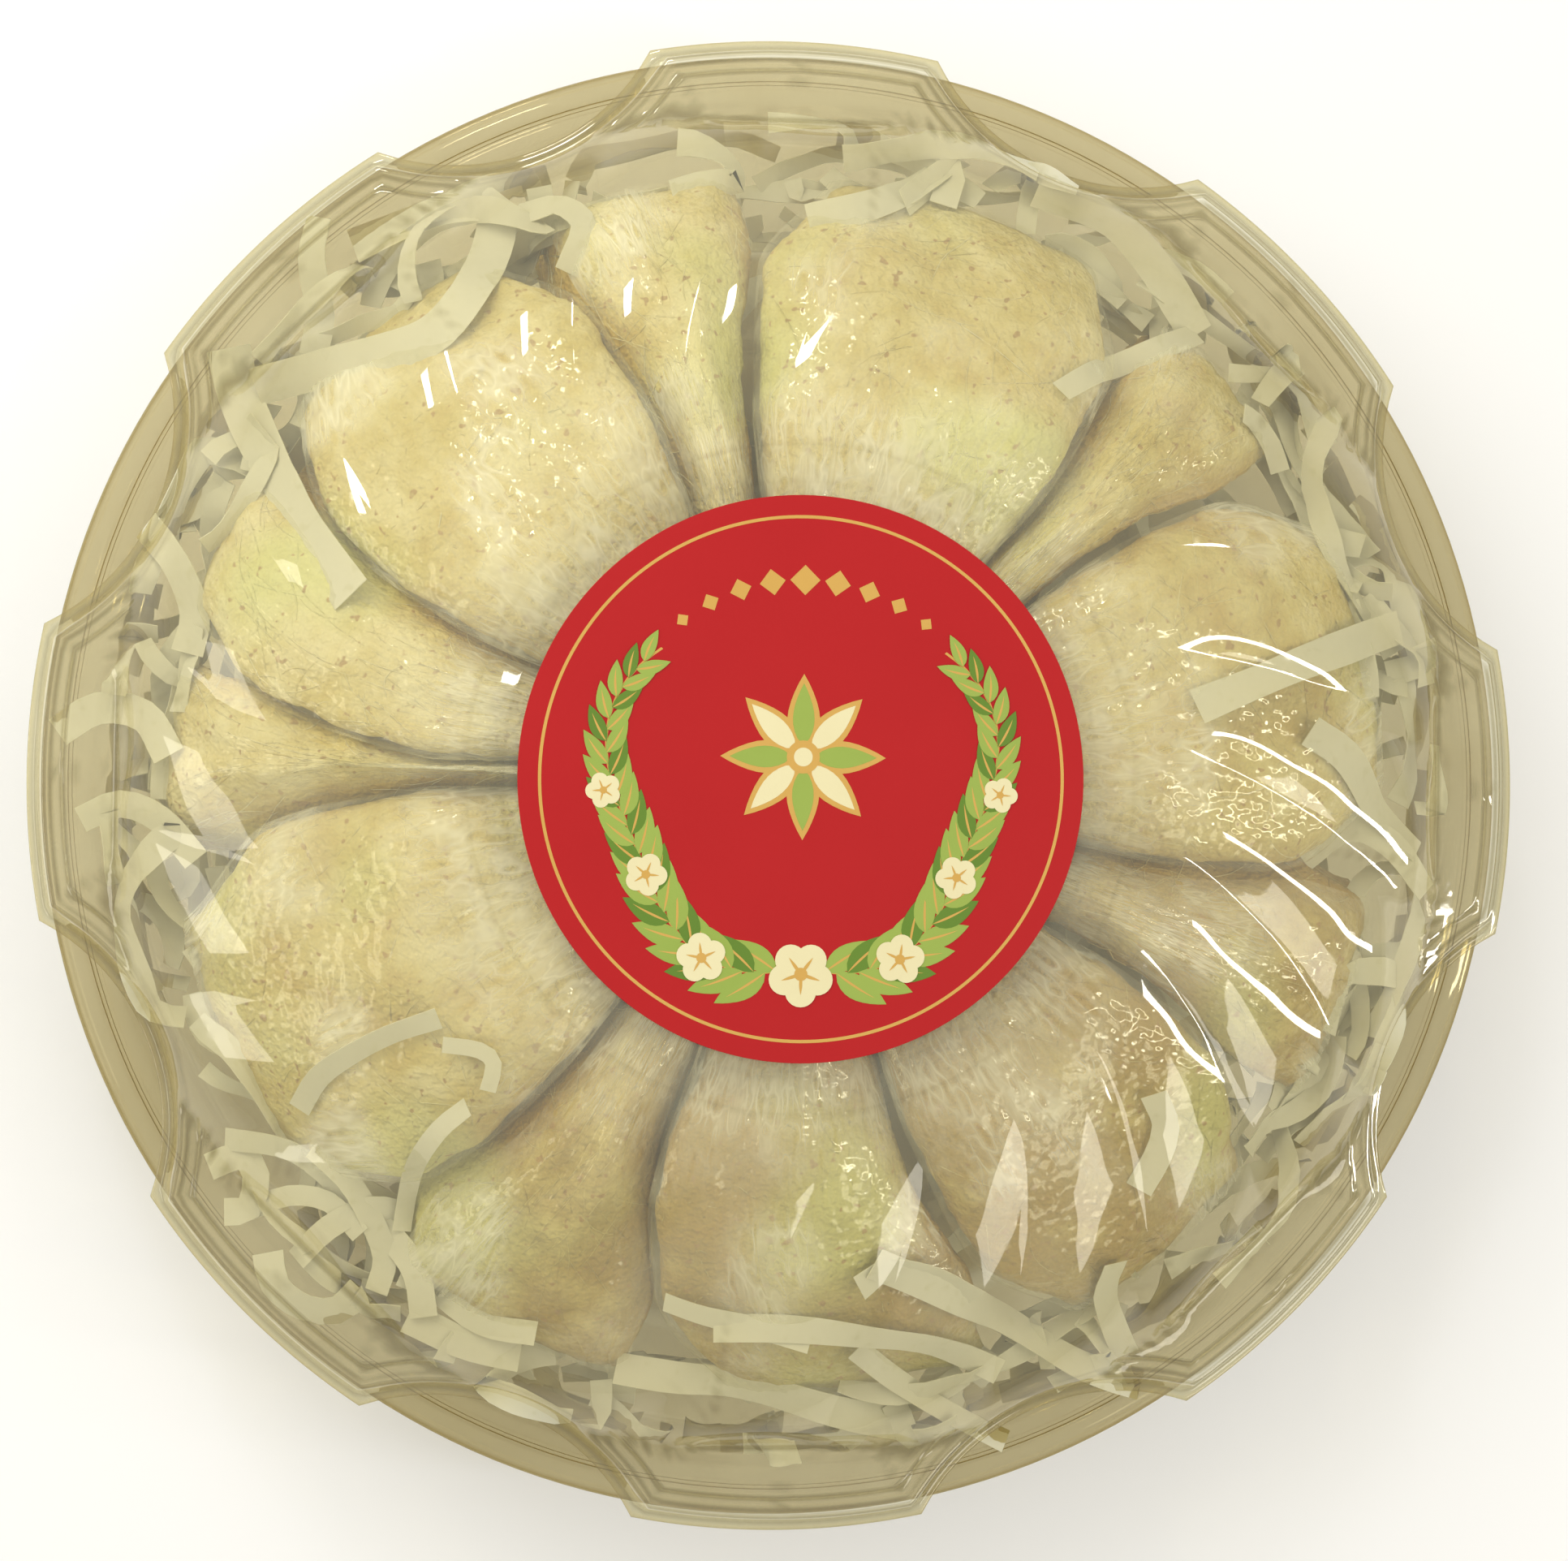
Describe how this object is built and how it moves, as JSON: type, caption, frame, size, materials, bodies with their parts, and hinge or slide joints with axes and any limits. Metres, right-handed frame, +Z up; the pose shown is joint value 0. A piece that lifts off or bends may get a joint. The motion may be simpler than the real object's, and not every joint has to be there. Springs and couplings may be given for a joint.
{
  "type": "edible birds nest gift box",
  "caption": "Clear round box with a fluted, scalloped lid and a round label, packed with half-cup edible birds' nests standing in a rosette on shredded paper.",
  "frame": {"origin": "middle of the flat ring under the tray that the box stands on", "axes": "+Z up through the label; the lid's lobes lie on +X, +Y and between them; +Y is the label's top"},
  "size_m": [0.221, 0.221, 0.0655],
  "materials": {
    "clear_lid": "clear, glossy, faint straw tint",
    "clear_tray": "clear, glossy, faint straw tint",
    "label_paper": "satin printed red paper with a gold line and a plain ornament",
    "nest_strands": "matted dry strands, cream to amber",
    "shredded_paper": "matt pale cream-green paper strips"
  },
  "bodies": {
    "root": {"tray": "clear_tray", "lid": "clear_lid", "label": "label_paper", "nest_01": "nest_strands", "nest_02": "nest_strands", "nest_03": "nest_strands", "nest_04": "nest_strands", "nest_05": "nest_strands", "nest_06": "nest_strands", "nest_07": "nest_strands", "nest_08": "nest_strands", "nest_09": "nest_strands", "nest_10": "nest_strands", "nest_11": "nest_strands", "nest_12": "nest_strands", "paper_bed": "shredded_paper", "paper_ring": "shredded_paper"}
  },
  "joints": []
}
